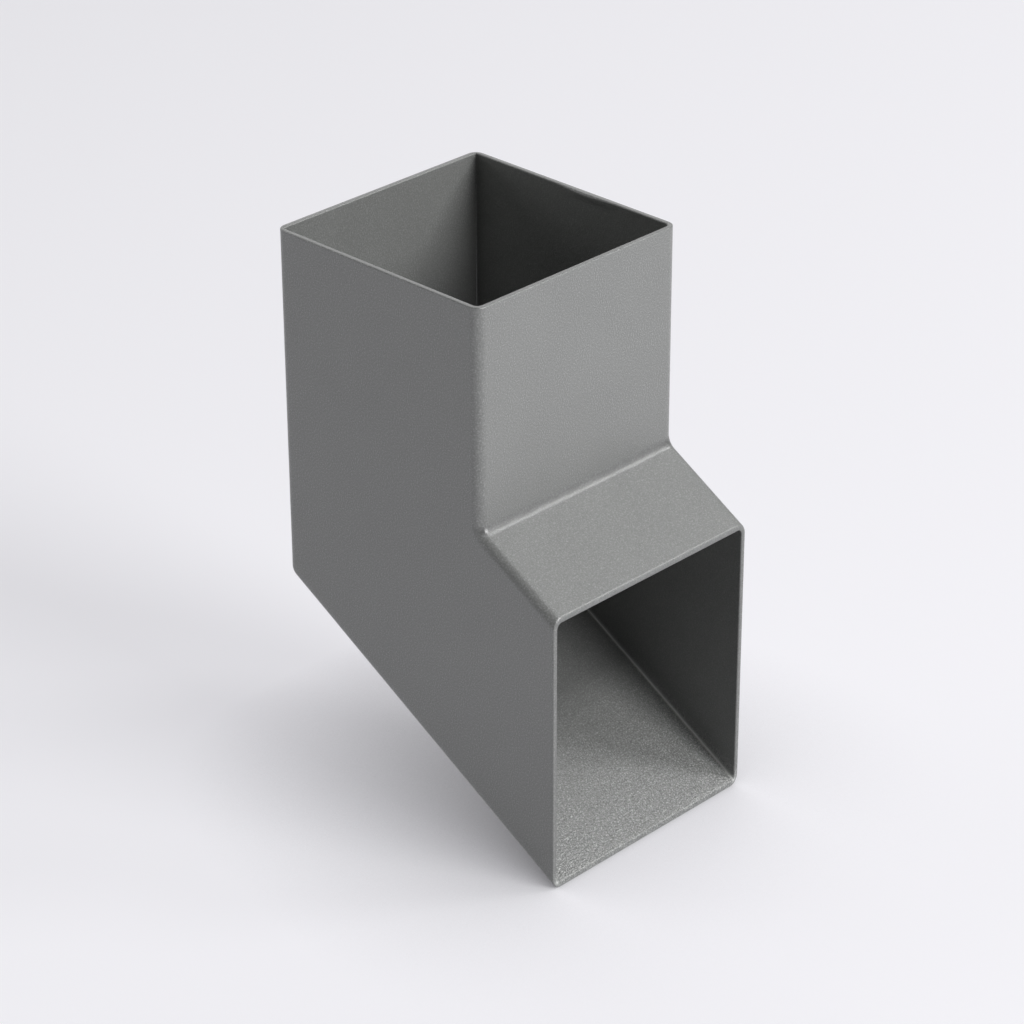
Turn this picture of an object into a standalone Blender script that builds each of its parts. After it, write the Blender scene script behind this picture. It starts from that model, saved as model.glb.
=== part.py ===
"""Square downpipe shoe: a tube over the end of a downpipe, one bend, and a sloping throat cut off plumb.

The origin is the centre of the inlet, on its rim. +Z is up the downpipe, and the outlet faces -Y.
"""

import math

import bmesh
import bpy
from mathutils import Vector

# Driving dimensions, in metres
TUBE_WIDTH = 0.100  # side to side, outside
TUBE_DEPTH = 0.100  # front to back, outside
WALL = 0.002
FRONT_HEIGHT = 0.085  # from the rim down to the front bend
BACK_HEIGHT = 0.138  # from the rim down to the heel
PROJECTION = 0.0355  # from the front wall out to the outlet
SLOPE = math.radians(30)  # of the roof and the floor, below the horizontal

FOLD_RADIUS = 0.002  # inside, down the corners of the front and the roof
SEAM_RADIUS = 0.0005  # inside, down the welded corners of the back and the floor
FRONT_BEND_RADIUS = 0.005  # outside, in the hollow between the front and the roof
HEEL_RADIUS = 0.0035  # inside, between the back and the floor
RIM_ROUNDING = 0.0003  # on the cut edges of both mouths

# Smoothness of the rounded edges
BEND_STEPS = 10
CORNER_STEPS = 10
RIM_STEPS = 4
SHARPEST_CURVE = math.radians(40)  # an edge that turns more than this is a cut one

# Derived sizes
CORNER_RADIUS = FOLD_RADIUS + WALL
FRONT_Y = -TUBE_DEPTH / 2
BACK_Y = TUBE_DEPTH / 2
OUTLET_Y = FRONT_Y - PROJECTION

# Marks on a skin's corner points, by the run of walls that they lie on
FRONT_RUN, BACK_RUN = range(1, 3)

COAT_COLOUR = (0.200, 0.205, 0.198, 1.0)
COAT_ROUGHNESS = 0.55


def clear_scene():
    for thing in list(bpy.data.objects):
        bpy.data.objects.remove(thing, do_unlink=True)


def powder_coat():
    material = bpy.data.materials.new("powder_coat")
    material.use_nodes = True
    shader = material.node_tree.nodes["Principled BSDF"]
    shader.inputs["Base Color"].default_value = COAT_COLOUR
    shader.inputs["Roughness"].default_value = COAT_ROUGHNESS
    shader.inputs["Metallic"].default_value = 0.0
    return material


def rounded(before, corner, after, radius):
    """The arc that rounds one corner of an outline, as points from before's side to after's."""
    back = (before - corner).normalized()
    onward = (after - corner).normalized()
    half_angle = back.angle(onward) / 2
    centre = corner + (back + onward).normalized() * radius / math.sin(half_angle)
    reach = radius / math.tan(half_angle)
    first_spoke = (corner + back * reach - centre).normalized()
    last_spoke = (corner + onward * reach - centre).normalized()
    steps = [step / BEND_STEPS for step in range(BEND_STEPS + 1)]
    return [centre + first_spoke.slerp(last_spoke, step) * radius for step in steps]


def wall_runs(inset):
    """The front and roof, and the floor and back, as seen from the side: two runs of (y, z) points.

    They lie inset from the outer faces, and each run has its ends on the planes of the two mouths.
    """
    fall = math.tan(SLOPE)
    slant = inset / math.cos(SLOPE)
    front_y = FRONT_Y + inset
    back_y = BACK_Y - inset

    def roof(y):
        return Vector((y, -FRONT_HEIGHT - (FRONT_Y - y) * fall - slant))

    def floor(y):
        return Vector((y, -BACK_HEIGHT - (BACK_Y - y) * fall + slant))

    front_top = Vector((front_y, 0))
    back_top = Vector((back_y, 0))
    front_bend = rounded(front_top, roof(front_y), roof(OUTLET_Y), FRONT_BEND_RADIUS + inset)
    heel = rounded(floor(OUTLET_Y), floor(back_y), back_top, HEEL_RADIUS + WALL - inset)
    return [front_top, *front_bend, roof(OUTLET_Y)], [floor(OUTLET_Y), *heel, back_top]


def swept_outline(inset):
    """The bent outline extruded from side to side, open at both mouths, with all its corners still sharp."""
    half_width = TUBE_WIDTH / 2 - inset
    skin = bmesh.new()
    mark = skin.verts.layers.int.new("run")
    corners = []
    for run, points in zip((FRONT_RUN, BACK_RUN), wall_runs(inset)):
        for point in points:
            corner = skin.verts.new((-half_width, point.x, point.y))
            corner[mark] = run
            corners.append(corner)
    side = skin.faces.new(corners)
    swept = bmesh.ops.extrude_face_region(skin, geom=[side])["geom"]
    moved = [piece for piece in swept if isinstance(piece, bmesh.types.BMVert)]
    bmesh.ops.translate(skin, verts=moved, vec=(2 * half_width, 0, 0))

    mouths = []
    for face in skin.faces:
        joins_runs = len({corner[mark] for corner in face.verts}) == 2
        spans_width = len({corner.co.x for corner in face.verts}) == 2
        if joins_runs and spans_width:
            mouths.append(face)
    bmesh.ops.delete(skin, geom=mouths, context="FACES")
    return skin, mark


def round_long_edges(skin, mark, run, radius):
    """Rounds the two edges where one run of walls meets the side walls."""
    edges = []
    for edge in skin.edges:
        first, last = edge.verts
        if first[mark] == last[mark] == run and first.co.x == last.co.x:
            edges.append(edge)
    bmesh.ops.bevel(
        skin,
        geom=edges,
        offset=radius,
        offset_type="OFFSET",
        segments=CORNER_STEPS,
        profile=0.5,
        affect="EDGES",
        clamp_overlap=False,
    )


def sheet_skin(inset, front_radius, back_radius, faces_water=False):
    """One side of the sheet, as a tube of faces from mouth to mouth."""
    skin, mark = swept_outline(inset)
    round_long_edges(skin, mark, FRONT_RUN, front_radius)
    round_long_edges(skin, mark, BACK_RUN, back_radius)
    bmesh.ops.recalc_face_normals(skin, faces=skin.faces)
    if faces_water:
        bmesh.ops.reverse_faces(skin, faces=skin.faces)
    mesh = bpy.data.meshes.new("sheet_skin")
    skin.to_mesh(mesh)
    skin.free()
    return mesh


def bent_tube():
    """The two skins of the sheet, joined across its thickness along the rims of the inlet and the outlet."""
    tube = bmesh.new()
    outer = sheet_skin(0, CORNER_RADIUS, CORNER_RADIUS)
    inner = sheet_skin(WALL, FOLD_RADIUS, SEAM_RADIUS, faces_water=True)
    for skin in (outer, inner):
        tube.from_mesh(skin)
        bpy.data.meshes.remove(skin)
    rims = [edge for edge in tube.edges if edge.is_boundary]
    inlet = [edge for edge in rims if edge.verts[0].co.z > -WALL]
    outlet = [edge for edge in rims if edge not in inlet]
    for mouth in (inlet, outlet):
        bmesh.ops.bridge_loops(tube, edges=mouth)
    mesh = bpy.data.meshes.new("shoe_body")
    tube.to_mesh(mesh)
    tube.free()
    mesh.shade_smooth()
    return mesh


def shoe_body():
    body = bpy.data.objects.new("shoe_body", bent_tube())
    bpy.context.scene.collection.objects.link(body)
    body.data.materials.append(powder_coat())

    # The sheet is thinnest across a seam's corner, where the outside is ground to the folds' radius
    thinnest = WALL * math.sqrt(2) - (CORNER_RADIUS - SEAM_RADIUS) * (math.sqrt(2) - 1)
    rims = body.modifiers.new("Rounded rims", "BEVEL")
    rims.limit_method = "ANGLE"
    rims.angle_limit = SHARPEST_CURVE
    rims.width = min(RIM_ROUNDING, thinnest / 3)
    rims.segments = RIM_STEPS
    rims.use_clamp_overlap = False

    body.modifiers.new("Even shading", "WEIGHTED_NORMAL")
    return body


clear_scene()
shoe_body()
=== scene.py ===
import math

import bmesh
import bpy
from mathutils import Matrix, Vector, noise


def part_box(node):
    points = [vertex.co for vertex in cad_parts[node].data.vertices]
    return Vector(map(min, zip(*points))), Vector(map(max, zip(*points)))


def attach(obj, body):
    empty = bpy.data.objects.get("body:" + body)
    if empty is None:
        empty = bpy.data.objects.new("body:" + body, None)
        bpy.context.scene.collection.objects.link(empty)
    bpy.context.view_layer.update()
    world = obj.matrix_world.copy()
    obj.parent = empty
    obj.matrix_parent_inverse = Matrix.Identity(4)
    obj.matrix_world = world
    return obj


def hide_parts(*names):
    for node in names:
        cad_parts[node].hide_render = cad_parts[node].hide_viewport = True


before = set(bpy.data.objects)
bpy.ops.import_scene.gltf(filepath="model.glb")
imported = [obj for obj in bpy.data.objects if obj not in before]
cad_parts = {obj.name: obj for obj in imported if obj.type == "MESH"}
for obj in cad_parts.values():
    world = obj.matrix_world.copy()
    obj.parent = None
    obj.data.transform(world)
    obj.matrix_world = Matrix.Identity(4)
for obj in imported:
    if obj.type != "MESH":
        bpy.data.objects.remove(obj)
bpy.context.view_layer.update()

# The shoe, in metres, with the same driving sizes as its solid
TUBE_WIDTH = 0.100
TUBE_DEPTH = 0.100
WALL = 0.002
FRONT_HEIGHT = 0.085
BACK_HEIGHT = 0.138
PROJECTION = 0.0355
SLOPE = math.radians(30)
FOLD_RADIUS = 0.002
SEAM_RADIUS = 0.0005
FRONT_BEND_RADIUS = 0.005
HEEL_RADIUS = 0.0035
RIM_ROUNDING = 0.00045

CORNER_RADIUS = FOLD_RADIUS + WALL
FRONT_Y = -TUBE_DEPTH / 2
BACK_Y = TUBE_DEPTH / 2
OUTLET_Y = FRONT_Y - PROJECTION

# How finely the sheet is divided, along the tube and round it
TUBE_ROWS = 56
BEND_ROWS = 14
THROAT_ROWS = 66
FLAT_COLUMNS = 60
CORNER_COLUMNS = 10
RIM_STEPS = 3
RIM_CROWDING = 1.25  # above 1 draws the rows towards the inlet's rim
COLUMN_CROWDING = 0.7  # draws a wall's columns towards its middle and its corners
SHARPEST_CURVE = math.radians(40)

# Small faults of the making, in metres
WELD_LUMPS = 0.00012  # the height of the lumps on the dressed weld in the front bend
WELD_REACH = 0.0045
WELD_LUMP_SIZE = 0.0035
FINE_LUMPS = 0.6  # of the lumps' height
FINE_LUMP_SHRINK = 2.1  # how many times smaller they are
GROUND_WAVES = 0.00008  # the depth of the waves on the ground corners of the back and the floor
GROUND_WAVE_SIZE = 0.009
GROUND_REACH = 2 * CORNER_RADIUS
SEAM_X = 0.0030  # the welded seam inside the back
SEAM_HEIGHT = 0.00005
SEAM_WIDTH = 0.0007
SEAM_UNEVENNESS = 0.4
SEAM_LUMP_SIZE = 0.004
COAT_RUNS = (  # along the inner edge of the back's rim: x, half width to the left and to the right, height
    (0.0018, 0.0022, 0.0005, 0.00032),
    (0.0447, 0.0007, 0.0006, 0.00030),
    (-0.0240, 0.0012, 0.0009, 0.00012),
)
COAT_RUN_REACH = 0.0011
SAG_Y = -0.008  # the sag of the coat below the rim, inside the right wall
SAG_HALF_WIDTH = 0.016
SAG_DROP = 0.0013
SAG_REACH = 0.0019
SAG_HEIGHT = 0.0008
ON_WALL = 0.0001  # how near a point lies to the face of a wall that it is on

# The powder coat: lengths in metres, scales in cycles a metre
COAT_COLOUR = (0.192, 0.196, 0.191)
COAT_ROUGHNESS = 0.36
COAT_GLOSS = 1.0
GRAIN_SCALE = 1900
GRAIN_DEPTH = 0.000075
PEEL_SCALE = 330
PEEL_DEPTH = 0.000030
MOTTLE_SCALE = 45
MOTTLE_SHARE = 0.2  # of the grain's part in the colour
PIT_SHADE = 0.7  # of the coat's own colour
TOP_SHADE = 1.3
MIDDLE_SHADE = 0.46  # from the pits' to the tops'
TOPS_START = 0.08  # the grain above which its tops look lighter still
TOPS_SHARE = 1.5
COARSE_RELIEF = 0.45  # how far the relief follows the grain's coarseness
ROUGHNESS_OF_PEEL = 0.10
ROUGHNESS_OF_MOTTLE = 0.06
INSIDE_GRAIN = 0.8  # of the outside's
THROAT_GRAIN = 3.1
THROAT_GRAIN_LOSS = 0.6  # of it, deep in the throat
THROAT_GRAIN_REACH = 0.006
# Painted shade and painted highlights, carried in the coat's colour
INSIDE_PAINTED_SHADE = 0.96  # painted shade over the whole inside, as a share of the outside's colour
THROAT_PAINTED_SHADE_TOP = -0.075  # from here down the throat's roof and sides get painted shade
THROAT_PAINTED_SHADE_WHOLE = -0.105
DEEP = 0.055  # from the outlet
OUTLET_PAINTED_SHADE = 0.30  # the painted shade on the throat's roof and sides, at the outlet
DEEP_PAINTED_SHADE = 0.45
PAINTED_SHADE_POWER = 3  # the power of depth by which that painted shade grows
THROAT_FLOOR_PAINTED_SHADE = 0.97  # the painted shade on the throat's floor near the outlet, as a share of the outside's colour
DEEP_FLOOR_PAINTED_SHADE = 0.38
FLOOR_PAINTED_SHADE_POWER = 6
CORNER_PAINTED_SHADE = 0.2  # the painted shade in the tube's back inner corners
CORNER_REACH = 0.005
HOLLOW_PAINTED_SHADE = 0.14  # the painted shade on the front just above the front bend
HOLLOW_START = 0.0015
HOLLOW_FADE = 0.014
WELD_EDGE_PAINTED_SHADE = 0.38  # a narrower painted shade along the upper edge of the weld there
WELD_EDGE_ABOVE = 0.0021
WELD_EDGE_REACH = 0.0025
WELD_PAINTED_HIGHLIGHT = 0.36  # the painted highlight along the weld there, as a share of the way to the bead's lightness
WELD_PAINTED_HIGHLIGHT_ABOVE = 0.0005
WELD_PAINTED_HIGHLIGHT_REACH = 0.0008
BEAD_REACH = 0.0015  # the painted highlight along the weld bead on both sides of the throat's floor
BEAD_PAINTED_HIGHLIGHT = 3.2  # the painted highlight's colour, as a share of the coat's own colour

# The studio's soft lamps
LAMPS = (  # the bearing from -Y towards +X and the height, in degrees, the strength, and how wide it looks
    ("main", 56, 41, 0.20, 14),
    ("front", 13, 30, 0.83, 29),
    ("front_low", 25, 8, 0.09, 30),
    ("right", 90, 42, 0.04, 30),
    ("top", 40, 74, 0.09, 20),
    ("back_left", 208, 17, 0.17, 30),
    ("back_right", 145, 27, 0.22, 60),
)

# The table and what lies around it
FLOOR_RADIUS = 8.0
FLOOR_SIDES = 128
FLOOR_COLOUR = (0.91, 0.91, 0.93)
FLOOR_SHOWN = 0.35  # how much of the light on the floor one sees in it, and the rest of its tone is a glow
GLOW_COLOUR = (0.99, 0.98, 1.03)
GLOW_MIDDLE = 0.615
GLOW_REACH = 0.09  # from how far the object dims it
GLOW_SAMPLES = 6
GLOW_RISE_RIGHT = 0.13  # for every metre to the camera's right
GLOW_RISE_NEAR = 0.07  # for every metre nearer
SKY_COLOUR = (0.84, 0.84, 0.86)
SKY_IN_GLOSS = 0.35  # how brightly the coat's gloss sees it

# The camera of the photograph
CAMERA_PLACE = Vector((-0.80216, -0.80078, 0.48845))
CAMERA_HEADING = math.radians(-45.66)
CAMERA_PITCH = math.radians(27.988)
CAMERA_ROLL = -0.0037  # radians
CAMERA_LENS = 123.03
CAMERA_SENSOR = 36.0
CAMERA_NEAREST = 0.05
CAMERA_FARTHEST = 60.0


def arc_points(before, corner, after, radius, steps):
    """The arc that rounds a corner between two straight walls, as points from before's side to after's."""
    back = (before - corner).normalized()
    onward = (after - corner).normalized()
    half_angle = back.angle(onward) / 2
    centre = corner + (back + onward).normalized() * radius / math.sin(half_angle)
    reach = radius / math.tan(half_angle)
    first_spoke = (corner + back * reach - centre).normalized()
    last_spoke = (corner + onward * reach - centre).normalized()
    return [centre + first_spoke.slerp(last_spoke, step / steps) * radius for step in range(steps + 1)]


def spread_rows(first, last, steps, crowding=1):
    """Points from first up to, but not including, last. A crowding above 1 draws them towards first."""
    return [first.lerp(last, (step / steps) ** crowding) for step in range(steps)]


def wall_run(top, bend, end, radius):
    """One wall seen from the side, from the inlet to the outlet, as (y, z) points in rows."""
    arc = arc_points(top, bend, end, radius, BEND_ROWS)
    tube = spread_rows(top, arc[0], TUBE_ROWS, RIM_CROWDING)
    return [*tube, *arc[:-1], *spread_rows(arc[-1], end, THROAT_ROWS), end]


def roof_height(y, inset):
    return -FRONT_HEIGHT - (FRONT_Y - y) * math.tan(SLOPE) - inset / math.cos(SLOPE)


def floor_height(y, inset):
    return -BACK_HEIGHT - (BACK_Y - y) * math.tan(SLOPE) + inset / math.cos(SLOPE)


def front_run(inset):
    """The front and the roof, inset from their outer faces."""
    y = FRONT_Y + inset
    bend, end = (Vector((place, roof_height(place, inset))) for place in (y, OUTLET_Y))
    return wall_run(Vector((y, 0)), bend, end, FRONT_BEND_RADIUS + inset)


def back_run(inset):
    """The back and the floor, inset from their outer faces."""
    y = BACK_Y - inset
    heel, end = (Vector((place, floor_height(place, inset))) for place in (y, OUTLET_Y))
    return wall_run(Vector((y, 0)), heel, end, HEEL_RADIUS + WALL - inset)


def column(x, run):
    return [Vector((x, point.x, point.y)) for point in run]


def skin_columns(depth, front_radius, back_radius):
    """The columns of points of one side of the sheet, once round the tube from the front's left end."""
    half_width = TUBE_WIDTH / 2 - depth
    columns = []

    def corner(side, run, radius, turns):
        for turn in turns:
            angle = math.pi / 2 * turn
            inset = depth + radius * (1 - math.cos(angle))
            x = half_width - radius * (1 - math.sin(angle))
            columns.append(column(side * x, run(inset)))

    def across(first, last, crowding=0):
        for step in range(1, FLAT_COLUMNS):
            share = step / FLAT_COLUMNS
            share -= crowding * math.sin(4 * math.pi * share) / (4 * math.pi)
            columns.append([a.lerp(b, share) for a, b in zip(first, last)])

    outward = [step / CORNER_COLUMNS for step in range(CORNER_COLUMNS + 1)]
    inward = outward[::-1]
    corner(-1, front_run, front_radius, inward)
    across(columns[-1], column(half_width - front_radius, front_run(depth)))
    corner(1, front_run, front_radius, outward)
    back_start = column(half_width, back_run(depth + back_radius))
    across(columns[-1], back_start)
    corner(1, back_run, back_radius, inward)
    across(columns[-1], column(-half_width + back_radius, back_run(depth)), COLUMN_CROWDING)
    corner(-1, back_run, back_radius, outward)
    across(columns[-1], columns[0])
    return columns


def hump(distance, reach):
    """1 in the middle, falling smoothly to 0 at reach."""
    return max(0, 1 - (distance / reach) ** 2) ** 2


def rough(point, size):
    """Smooth noise from -1 to 1 whose lumps are about size across."""
    return noise.noise(point / size)


def weld_lumps(point):
    """The dressed weld in the hollow of the front bend."""
    bend_y = FRONT_Y - FRONT_BEND_RADIUS * (1 - math.cos(SLOPE))
    bend_z = -FRONT_HEIGHT + FRONT_BEND_RADIUS * (math.tan(SLOPE) - math.sin(SLOPE))
    outward = Vector((0, -math.cos(SLOPE), math.sin(SLOPE)))
    nearness = hump(math.hypot(point.y - bend_y, point.z - bend_z), WELD_REACH)
    lumps = rough(point, WELD_LUMP_SIZE)
    lumps += FINE_LUMPS * rough(point * FINE_LUMP_SHRINK + outward, WELD_LUMP_SIZE)
    return outward * WELD_LUMPS * nearness * lumps


def ground_waves(point):
    """The slight waves that grinding leaves on the welded corners of the back and the floor."""
    above = (point.z - floor_height(point.y, 0)) * math.cos(SLOPE)
    before = max(0, min(BACK_Y - point.y, above))
    beside = max(0, TUBE_WIDTH / 2 - abs(point.x))
    nearness = hump(math.hypot(before, beside), GROUND_REACH)
    depth = GROUND_WAVES * nearness * (1 + rough(point, GROUND_WAVE_SIZE)) / 2
    return Vector((-math.copysign(depth, point.x), 0, 0))


def seam_and_runs(point):
    """The welded seam inside the back, and the coat's runs and its sag below the inlet's rim."""
    if point.x > TUBE_WIDTH / 2 - WALL - ON_WALL:
        sag = SAG_HEIGHT * hump(point.y - SAG_Y, SAG_HALF_WIDTH) * hump(point.z + SAG_DROP, SAG_REACH)
        return Vector((-sag, 0, 0))
    if point.y < BACK_Y - WALL - ON_WALL:
        return Vector()
    unevenness = 1 + SEAM_UNEVENNESS * rough(point, SEAM_LUMP_SIZE)
    raised = SEAM_HEIGHT * hump(point.x - SEAM_X, SEAM_WIDTH) * unevenness
    for x, left, right, height in COAT_RUNS:
        reach = left if point.x < x else right
        raised += height * hump(point.x - x, reach) * hump(point.z, COAT_RUN_REACH)
    return Vector((0, -raised, 0))


def above_floor(point):
    """How far a point is from the throat's floor, at right angles to it."""
    return max(0, (point.z - floor_height(point.y, WALL)) * math.cos(SLOPE))


def from_side(point):
    """How far a point is from the nearer side wall's inner face."""
    return TUBE_WIDTH / 2 - WALL - abs(point.x)


def throat_depth(point):
    """0 at the outlet and 1 deep inside."""
    return min(1, (point.y - OUTLET_Y) / DEEP)


def inside_grain(point):
    """How coarse the coat is inside: coarsest on the throat's floor, where loose powder settles."""
    throat = THROAT_GRAIN * (1 - THROAT_GRAIN_LOSS * throat_depth(point))
    return INSIDE_GRAIN + (throat - INSIDE_GRAIN) * hump(above_floor(point), THROAT_GRAIN_REACH)


def inside_painted_shade(point):
    """The painted shade inside: how light the coat's colour is there, as a share of the outside's."""
    depth = throat_depth(point)
    within = min(1, max(0, (THROAT_PAINTED_SHADE_TOP - point.z) / (THROAT_PAINTED_SHADE_TOP - THROAT_PAINTED_SHADE_WHOLE)))
    # the throat's roof and sides get painted shade, growing with depth
    darkness = within * (OUTLET_PAINTED_SHADE + (DEEP_PAINTED_SHADE - OUTLET_PAINTED_SHADE) * depth ** PAINTED_SHADE_POWER)
    # painted shade in the back inner corners
    corner = CORNER_PAINTED_SHADE * hump(math.hypot(from_side(point), BACK_Y - WALL - point.y), CORNER_REACH)
    # painted shade on the inside walls
    wall = INSIDE_PAINTED_SHADE * (1 - darkness) * (1 - corner)
    # painted shade on the throat's floor, darker deep inside
    floor = THROAT_FLOOR_PAINTED_SHADE * (1 - DEEP_FLOOR_PAINTED_SHADE * depth ** FLOOR_PAINTED_SHADE_POWER)
    return wall + (floor - wall) * hump(above_floor(point), THROAT_GRAIN_REACH)


def throat_bead_highlight(point):
    """How near a point is to the weld bead along the throat's floor, from 0 to 1, which is how strongly its
    painted highlight shows there.
    """
    return hump(math.hypot(above_floor(point), from_side(point)), BEAD_REACH)


def above_bend_foot(point):
    """How high a point is above the line where the front bend goes over into the roof."""
    return point.z + FRONT_HEIGHT + FRONT_BEND_RADIUS * math.tan(SLOPE) * math.sin(SLOPE)


def outside_grain(point):
    """The coat outside is even all over, and the inside's grain is given as a share of it."""
    return 1


def outside_painted_shade(point):
    """The painted shade outside: how light the coat's colour is. It is darker on the front, just above the
    bend.
    """
    above = above_bend_foot(point)
    on_front = min(1, 1 - (point.y - FRONT_Y) / CORNER_RADIUS)
    if on_front < 0:
        return 1
    started = max(0, min(1, above / HOLLOW_START))
    # painted shade on the front above the bend
    hollow = HOLLOW_PAINTED_SHADE * started * math.exp(-max(0, above) / HOLLOW_FADE)
    # a narrower painted shade along the weld's upper edge
    weld_edge = WELD_EDGE_PAINTED_SHADE * hump(above - WELD_EDGE_ABOVE, WELD_EDGE_REACH)
    return 1 - on_front * (hollow + weld_edge)


def front_weld_highlight(point):
    """How strongly the painted highlight shows along the middle of the weld in the front bend, from 0 up to
    its full strength.
    """
    if point.y > FRONT_Y:
        return 0
    return WELD_PAINTED_HIGHLIGHT * hump(above_bend_foot(point) - WELD_PAINTED_HIGHLIGHT_ABOVE, WELD_PAINTED_HIGHLIGHT_REACH)


def add_skin(mesh, columns, layers, coat, *faults):
    """Adds the points of one side of the sheet, moved by its faults and each with the coat's measures."""
    skin = []
    for points in columns:
        corners = []
        for point in points:
            corner = mesh.verts.new(sum((fault(point) for fault in faults), point))
            for layer, measure in zip(layers, coat):
                corner[layer] = measure(point)
            corners.append(corner)
        skin.append(corners)
    return skin


def sheet_mesh():
    """The whole sheet: its outer and its inner skin, and the cut rims that join them."""
    mesh = bmesh.new()
    # each point carries the coat's grain, its painted shade and its painted highlight
    layers = [mesh.verts.layers.float.new(name) for name in ("coat_grain", "coat_painted_shade", "painted_weld_highlight")]
    outside_coat = (outside_grain, outside_painted_shade, front_weld_highlight)
    inside_coat = (inside_grain, inside_painted_shade, throat_bead_highlight)
    outer_columns = skin_columns(0, CORNER_RADIUS, CORNER_RADIUS)
    inner_columns = skin_columns(WALL, FOLD_RADIUS, SEAM_RADIUS)
    outer = add_skin(mesh, outer_columns, layers, outside_coat, weld_lumps, ground_waves)
    inner = add_skin(mesh, inner_columns, layers, inside_coat, seam_and_runs)
    pairs = list(zip(outer, inner))
    for (outside, inside), (outside_next, inside_next) in zip(pairs, pairs[1:] + pairs[:1]):
        for row in range(len(outside) - 1):
            mesh.faces.new((outside[row], outside[row + 1], outside_next[row + 1], outside_next[row]))
            mesh.faces.new((inside[row], inside_next[row], inside_next[row + 1], inside[row + 1]))
        mesh.faces.new((outside[0], outside_next[0], inside_next[0], inside[0]))
        mesh.faces.new((outside[-1], inside[-1], inside_next[-1], outside_next[-1]))
    bmesh.ops.recalc_face_normals(mesh, faces=mesh.faces)
    data = bpy.data.meshes.new("shoe_shell")
    mesh.to_mesh(data)
    mesh.free()
    data.shade_smooth()
    return data


def shoe_shell():
    shell = bpy.data.objects.new("shoe_shell", sheet_mesh())
    bpy.context.scene.collection.objects.link(shell)
    rims = shell.modifiers.new("Rounded rims", "BEVEL")
    rims.limit_method = "ANGLE"
    rims.angle_limit = SHARPEST_CURVE
    rims.width = RIM_ROUNDING
    rims.segments = RIM_STEPS
    rims.use_clamp_overlap = False
    shell.modifiers.new("Even shading", "WEIGHTED_NORMAL")
    return shell


class Nodes:
    """Builds the nodes of a material or the world. A value is a number, a colour or a node's output."""

    def __init__(self, owner):
        owner.use_nodes = True
        self.tree = owner.node_tree

    def add(self, kind, values, output=0, **settings):
        node = self.tree.nodes.new(kind)
        for name, value in settings.items():
            setattr(node, name, value)
        self.fill(node, values)
        return node.outputs[output]

    def fill(self, node, values):
        for name, value in values.items():
            self.set(node.inputs[name], value)

    def set(self, socket, value):
        if isinstance(value, bpy.types.NodeSocket):
            self.tree.links.new(value, socket)
        else:
            socket.default_value = value

    def noise(self, place, scale, detail=1.0, roughness=0.5):
        """Noise about 0, from roughly -0.5 to 0.5."""
        values = {"Vector": place, "Scale": scale, "Detail": detail, "Roughness": roughness}
        return self.sum(self.add("ShaderNodeTexNoise", values), -0.5)

    def attribute(self, name):
        return self.add("ShaderNodeAttribute", {}, "Fac", attribute_name=name)

    def mix(self, share, first, second):
        """The first colour where share is 0 and the second where it is 1."""
        node = self.add("ShaderNodeMix", {}, 0, data_type="RGBA", clamp_factor=False).node
        sockets = {socket.name: socket for socket in node.inputs if socket.enabled}
        for name, value in (("Factor", share), ("A", first), ("B", second)):
            self.set(sockets[name], value)
        return next(socket for socket in node.outputs if socket.enabled)

    def sum(self, first, second):
        return self.add("ShaderNodeMath", {0: first, 1: second}, operation="ADD")

    def product(self, first, second):
        return self.add("ShaderNodeMath", {0: first, 1: second}, operation="MULTIPLY")


def shade(colour, share):
    return (*(part * share for part in colour), 1)


def powder_coat():
    """A fine-textured grey coat. Its grain is in its shape and its colour; its colour also carries painted
    shade, and the weld beads are lighter with painted highlights.
    """
    material = bpy.data.materials.new("fine_powder_coat")
    nodes = Nodes(material)
    place = nodes.add("ShaderNodeTexCoord", {}, "Object")
    coarseness = nodes.attribute("coat_grain")
    # how strongly the welds' painted highlight shows
    highlight_share = nodes.add("ShaderNodeMath", {0: nodes.attribute("painted_weld_highlight"), 1: 2}, operation="POWER")
    grain = nodes.noise(place, GRAIN_SCALE, 0)
    peel = nodes.noise(place, PEEL_SCALE)
    mottle = nodes.noise(place, MOTTLE_SCALE, 3)

    coarse_share = nodes.sum(nodes.product(coarseness, COARSE_RELIEF), 1 - COARSE_RELIEF)
    relief = nodes.product(grain, coarse_share)
    height = nodes.sum(nodes.product(relief, GRAIN_DEPTH), nodes.product(peel, PEEL_DEPTH))
    normal = nodes.add("ShaderNodeBump", {"Strength": 1, "Distance": 1, "Height": height})
    tops = nodes.add("ShaderNodeMath", {0: nodes.sum(grain, -TOPS_START), 1: 0}, operation="MAXIMUM")
    specks = nodes.product(nodes.sum(grain, nodes.product(tops, TOPS_SHARE)), coarseness)
    lightness = nodes.sum(nodes.sum(specks, nodes.product(mottle, MOTTLE_SHARE)), MIDDLE_SHADE)
    plain = nodes.mix(lightness, shade(COAT_COLOUR, PIT_SHADE), shade(COAT_COLOUR, TOP_SHADE))
    # painted highlights along the welds, then painted shade over all
    highlighted = nodes.mix(highlight_share, plain, shade(COAT_COLOUR, BEAD_PAINTED_HIGHLIGHT))
    colour = nodes.mix(nodes.attribute("coat_painted_shade"), (0, 0, 0, 1), highlighted)
    of_peel = nodes.product(peel, ROUGHNESS_OF_PEEL)
    of_mottle = nodes.product(mottle, ROUGHNESS_OF_MOTTLE)
    roughness = nodes.sum(nodes.sum(of_peel, of_mottle), COAT_ROUGHNESS)
    nodes.fill(
        nodes.tree.nodes["Principled BSDF"],
        {"Base Color": colour, "Roughness": roughness, "Normal": normal, "Specular IOR Level": COAT_GLOSS},
    )
    return material


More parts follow.
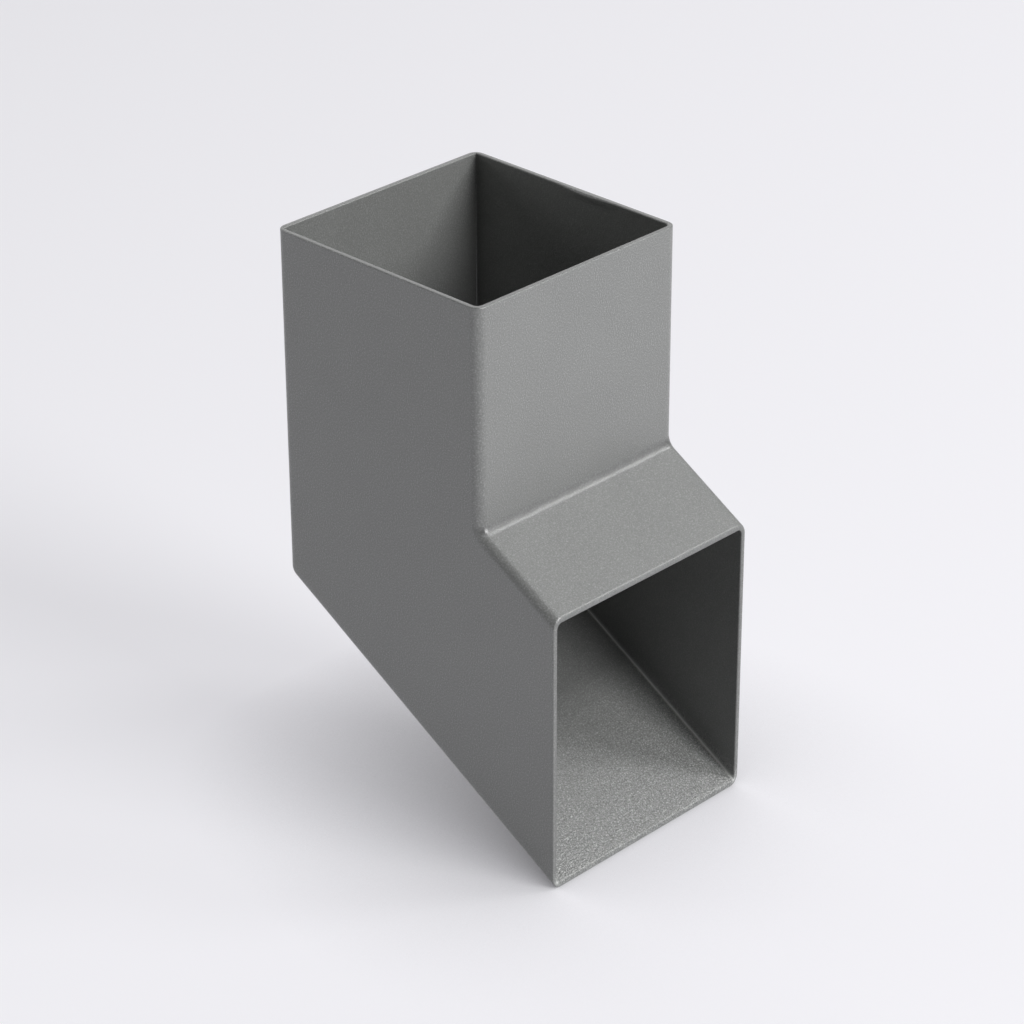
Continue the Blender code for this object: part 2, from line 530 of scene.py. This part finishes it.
def floor_material():
    """A pale table. To the camera and the gloss it also glows, faintly more to the right and nearer."""
    material = bpy.data.materials.new("pale_table")
    nodes = Nodes(material)
    nodes.tree.nodes.remove(nodes.tree.nodes["Principled BSDF"])
    place = nodes.add("ShaderNodeTexCoord", {}, "Object")
    rise = nodes.add(
        "ShaderNodeVectorMath",
        {0: place, 1: camera_rise()},
        "Value",
        operation="DOT_PRODUCT",
    )
    openness = nodes.add("ShaderNodeAmbientOcclusion", {"Distance": GLOW_REACH}, "AO", samples=GLOW_SAMPLES)
    level = nodes.product(nodes.sum(rise, GLOW_MIDDLE), openness)
    glow = nodes.add("ShaderNodeEmission", {"Color": (*GLOW_COLOUR, 1), "Strength": level})
    shown = nodes.add("ShaderNodeBsdfDiffuse", {"Color": shade(FLOOR_COLOUR, FLOOR_SHOWN)})
    lit = nodes.add("ShaderNodeBsdfDiffuse", {"Color": shade(FLOOR_COLOUR, 1)})
    seen = nodes.add("ShaderNodeAddShader", {0: shown, 1: glow})
    paths = nodes.add("ShaderNodeLightPath", {}).node.outputs
    looks = nodes.add(
        "ShaderNodeMath",
        {0: paths["Is Camera Ray"], 1: paths["Is Glossy Ray"]},
        operation="MAXIMUM",
    )
    surface = nodes.add("ShaderNodeMixShader", {0: looks, 1: lit, 2: seen})
    nodes.fill(nodes.tree.nodes["Material Output"], {"Surface": surface})
    return material


def camera_rise():
    """How the floor's glow rises with each metre along X and Y."""
    right = Vector((math.cos(CAMERA_HEADING), math.sin(CAMERA_HEADING), 0))
    near = Vector((math.sin(CAMERA_HEADING), -math.cos(CAMERA_HEADING), 0))
    return right * GLOW_RISE_RIGHT + near * GLOW_RISE_NEAR


def studio_floor():
    mesh = bpy.data.meshes.new("studio_floor")
    maker = bmesh.new()
    bmesh.ops.create_circle(maker, cap_ends=True, segments=FLOOR_SIDES, radius=FLOOR_RADIUS)
    maker.to_mesh(mesh)
    maker.free()
    floor = bpy.data.objects.new("studio_floor", mesh)
    floor.location.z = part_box("shoe_body")[0].z
    bpy.context.scene.collection.objects.link(floor)
    floor.data.materials.append(floor_material())


def photo_camera():
    camera = bpy.data.objects.new("photo_camera", bpy.data.cameras.new("photo_camera"))
    bpy.context.scene.collection.objects.link(camera)
    camera.data.lens = CAMERA_LENS
    camera.data.sensor_width = CAMERA_SENSOR
    heading = Matrix.Rotation(CAMERA_HEADING, 4, "Z")
    tilt = Matrix.Rotation(math.pi / 2 - CAMERA_PITCH, 4, "X")
    roll = Matrix.Rotation(CAMERA_ROLL, 4, "Z")
    camera.matrix_world = Matrix.Translation(CAMERA_PLACE) @ heading @ tilt @ roll
    camera.data.clip_start = CAMERA_NEAREST
    camera.data.clip_end = CAMERA_FARTHEST
    bpy.context.scene.camera = camera


def soft_lamp(name, bearing, height, strength, spread):
    """A lamp far away, which would light a facing white surface to this strength."""
    lamp = bpy.data.lights.new(name, "SUN")
    lamp.energy = strength * math.pi
    lamp.angle = math.radians(spread)
    turn, rise = math.radians(bearing), math.radians(height)
    towards = Vector((math.sin(turn) * math.cos(rise), -math.cos(turn) * math.cos(rise), math.sin(rise)))
    thing = bpy.data.objects.new(name, lamp)
    thing.rotation_mode = "QUATERNION"
    thing.rotation_quaternion = towards.to_track_quat("Z", "Y")
    bpy.context.scene.collection.objects.link(thing)


def studio_world():
    """A pale surrounding for the camera, which the coat's gloss sees faintly."""
    world = bpy.data.worlds.new("studio")
    bpy.context.scene.world = world
    nodes = Nodes(world)
    paths = nodes.add("ShaderNodeLightPath", {}, "Is Camera Ray")
    gloss = nodes.product(paths.node.outputs["Is Glossy Ray"], SKY_IN_GLOSS)
    seen = nodes.add("ShaderNodeMath", {0: paths, 1: gloss}, operation="MAXIMUM")
    nodes.fill(nodes.tree.nodes["Background"], {"Color": (*SKY_COLOUR, 1), "Strength": seen})


shell = shoe_shell()
shell.data.materials.append(powder_coat())
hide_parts("shoe_body")
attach(shell, "root")
studio_floor()
photo_camera()
studio_world()
for lamp in LAMPS:
    soft_lamp(*lamp)
bpy.context.scene.view_settings.view_transform = "Standard"
